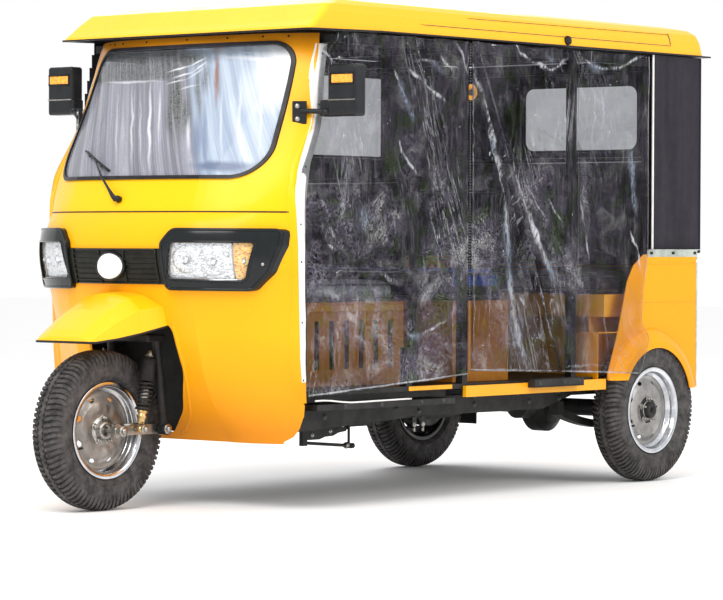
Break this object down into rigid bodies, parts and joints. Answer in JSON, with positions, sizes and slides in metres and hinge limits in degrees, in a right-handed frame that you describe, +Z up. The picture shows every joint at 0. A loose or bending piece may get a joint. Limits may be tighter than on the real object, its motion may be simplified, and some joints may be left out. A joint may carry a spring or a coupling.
{
  "type": "three-wheeled passenger auto rickshaw",
  "caption": "Enclosed three-wheeled passenger vehicle with a single steered front wheel, raked windscreen, long hard roof, bench seats and clear side curtains.",
  "frame": {"origin": "on the ground under the middle of the vehicle's overall box, in its middle plane", "axes": "+Z up, the vehicle faces -Y, its left side is +X"},
  "size_m": [1.515, 3.17, 1.824],
  "materials": {
    "yellow_paint": "gloss",
    "clear_glass": "polished",
    "black_rubber": "matt",
    "dark_trim": "satin",
    "black_steel": "satin",
    "black_fabric": "woven coated cloth",
    "clear_pvc": "soft clear sheet",
    "seat_cloth": "printed cloth",
    "cast_metal": "rough",
    "grey_plastic": "grained",
    "red_lens": "gloss",
    "bare_steel": "zinc plated",
    "mirror_glass": "polished",
    "tyre_rubber": "treaded",
    "steel_rim": "plated steel"
  },
  "bodies": {
    "body": {"front_cowl": "yellow_paint", "windscreen_frame": "yellow_paint", "front_mudguard": "yellow_paint", "roof_shell": "yellow_paint", "rear_body": "yellow_paint", "sills": "yellow_paint", "driver_seat_base": "yellow_paint", "bench_bases": "yellow_paint", "wheel_housings": "yellow_paint", "windscreen_glass": "clear_glass", "headlamps": "clear_glass", "windscreen_seal": "black_rubber", "mudflaps": "black_rubber", "lamp_surrounds": "dark_trim", "grille_band": "dark_trim", "mirrors": "dark_trim", "wheel_well": "dark_trim", "roof_lip": "dark_trim", "chassis_rails": "black_steel", "cross_members": "black_steel", "steering_head": "black_steel", "floor_pan": "black_steel", "side_steps": "black_steel", "pillars": "black_steel", "roof_rails": "black_steel", "roof_bows": "black_steel", "back_frames": "black_steel", "rear_axle": "black_steel", "drive_shaft": "black_steel", "leaf_springs": "black_steel", "tow_eye": "black_steel", "brake_linkage": "black_steel", "wiper": "black_steel", "quarter_panels": "black_fabric", "back_panel": "black_fabric", "side_panel_right": "black_fabric", "curtain_front_left": "clear_pvc", "curtain_rear_left": "clear_pvc", "clear_windows": "clear_pvc", "seat_cushions": "seat_cloth", "seat_backs": "seat_cloth", "engine": "cast_metal", "rear_hubs": "cast_metal", "dashboard": "grey_plastic", "tail_lamps": "red_lens", "plate_carrier": "bare_steel", "mirror_glasses": "mirror_glass"},
    "steering": {"fork": "black_steel", "leading_arms": "black_steel", "front_shocks": "bare_steel", "handlebar": "black_steel", "grips": "black_rubber"},
    "front_wheel": {"front_tyre": "tyre_rubber", "front_rim": "steel_rim"},
    "rear_left_wheel": {"rear_left_tyre": "tyre_rubber", "rear_left_rim": "steel_rim"},
    "rear_right_wheel": {"rear_right_tyre": "tyre_rubber", "rear_right_rim": "steel_rim"}
  },
  "joints": [
    {"name": "steering", "type": "hinge", "parent": "body", "child": "steering", "pos_m": [0, -1.135, 0.6], "axis": [0, 0.342, 0.9397], "range_deg": [-35, 35]},
    {"name": "front_wheel_spin", "type": "hinge", "parent": "steering", "child": "front_wheel", "pos_m": [0, -1.305, 0.28], "axis": [1, 0, 0], "continuous": true},
    {"name": "rear_left_wheel_spin", "type": "hinge", "parent": "body", "child": "rear_left_wheel", "pos_m": [0.586, 1.153, 0.28], "axis": [1, 0, 0], "continuous": true},
    {"name": "rear_right_wheel_spin", "type": "hinge", "parent": "body", "child": "rear_right_wheel", "pos_m": [-0.586, 1.153, 0.28], "axis": [1, 0, 0], "continuous": true}
  ]
}
